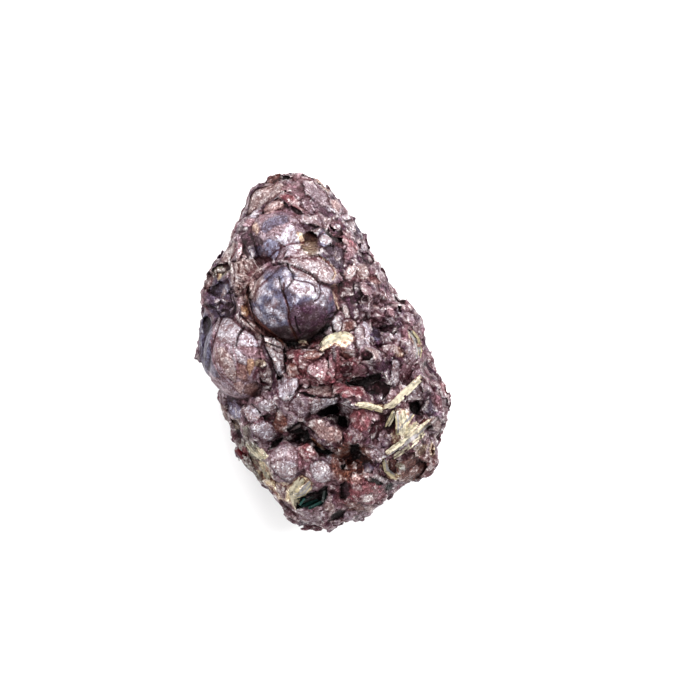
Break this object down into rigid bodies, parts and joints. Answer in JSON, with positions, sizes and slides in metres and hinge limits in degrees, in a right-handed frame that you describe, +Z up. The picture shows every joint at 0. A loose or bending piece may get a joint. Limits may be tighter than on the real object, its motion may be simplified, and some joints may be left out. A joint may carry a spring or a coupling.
{
  "type": "raw lepidolite",
  "caption": "Raw lepidolite stone: rounded pearly mica balls grown together with stacks of lilac-grey flakes, cream albite streaks and dark hollows, flat where it rests.",
  "frame": {"origin": "middle of the bounding box's underside, on the surface that the stone rests on", "axes": "+Y along the stone's length towards its narrow end, +Z up out of the side with the mica balls, +X to the right as seen from above with the narrow end away"},
  "size_m": [0.043, 0.0604, 0.0346],
  "materials": {
    "lepidolite_mica": "pearly, broken mica"
  },
  "bodies": {
    "root": {"lepidolite": "lepidolite_mica"}
  },
  "joints": []
}
